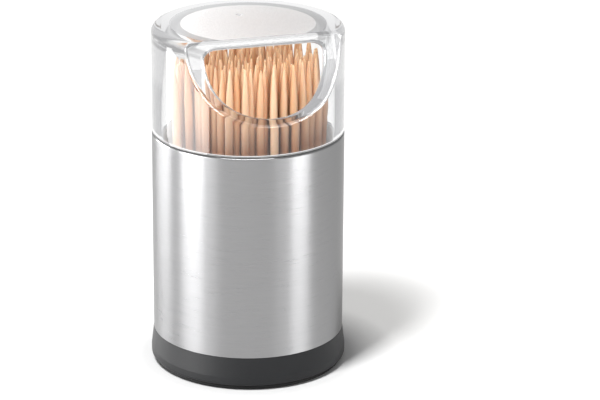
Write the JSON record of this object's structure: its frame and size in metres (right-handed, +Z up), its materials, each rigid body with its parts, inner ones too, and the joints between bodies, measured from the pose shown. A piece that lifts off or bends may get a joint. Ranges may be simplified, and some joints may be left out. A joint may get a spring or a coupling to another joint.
{
  "type": "toothpick dispenser",
  "caption": "Upright round toothpick dispenser with a clear scooped lift-off cap, a brushed steel sleeve, a dark base and a standing load of round wooden picks.",
  "frame": {"origin": "middle of the foot ring on the table", "axes": "+Z up along the body, and the mouth of the cap faces -Y"},
  "size_m": [0.0513, 0.0512, 0.0913],
  "materials": {
    "clear_plastic": "clear hard plastic, polished",
    "brushed_steel": "brushed round the sleeve",
    "base_plastic": "dark grey, fine matt grain",
    "cup_plastic": "natural white, smooth",
    "foot_rubber": "soft, matt",
    "seal_rubber": "soft, matt",
    "pick_wood": "bare birch, turned"
  },
  "bodies": {
    "container": {"base": "base_plastic", "foot_ring": "foot_rubber", "steel_sleeve": "brushed_steel", "inner_cup": "cup_plastic", "toothpick_left": "pick_wood", "toothpick_right": "pick_wood", "toothpicks_band_01": "pick_wood", "toothpicks_band_02": "pick_wood", "toothpicks_band_03": "pick_wood", "toothpicks_band_04": "pick_wood", "toothpicks_band_05": "pick_wood", "toothpicks_band_06": "pick_wood", "toothpicks_band_07": "pick_wood", "toothpicks_band_08": "pick_wood", "toothpicks_band_09": "pick_wood", "toothpicks_band_10": "pick_wood", "toothpicks_band_11": "pick_wood", "toothpicks_band_12": "pick_wood"},
    "seal": {"seal_ring": "seal_rubber"},
    "cap": {"clear_cap": "clear_plastic"},
    "front_pick": {"toothpick_front": "pick_wood"}
  },
  "joints": [
    {"name": "cap_lift", "type": "slide", "parent": "container", "child": "seal", "axis": [0, 0, 1], "range_m": [0, 0.04]},
    {"name": "cap_turn", "type": "hinge", "parent": "seal", "child": "cap", "pos_m": [0, 0, 0.06325], "axis": [0, 0, 1], "continuous": true},
    {"name": "pick_draw", "type": "slide", "parent": "container", "child": "front_pick", "axis": [0, 0, 1], "range_m": [0, 0.116]}
  ]
}
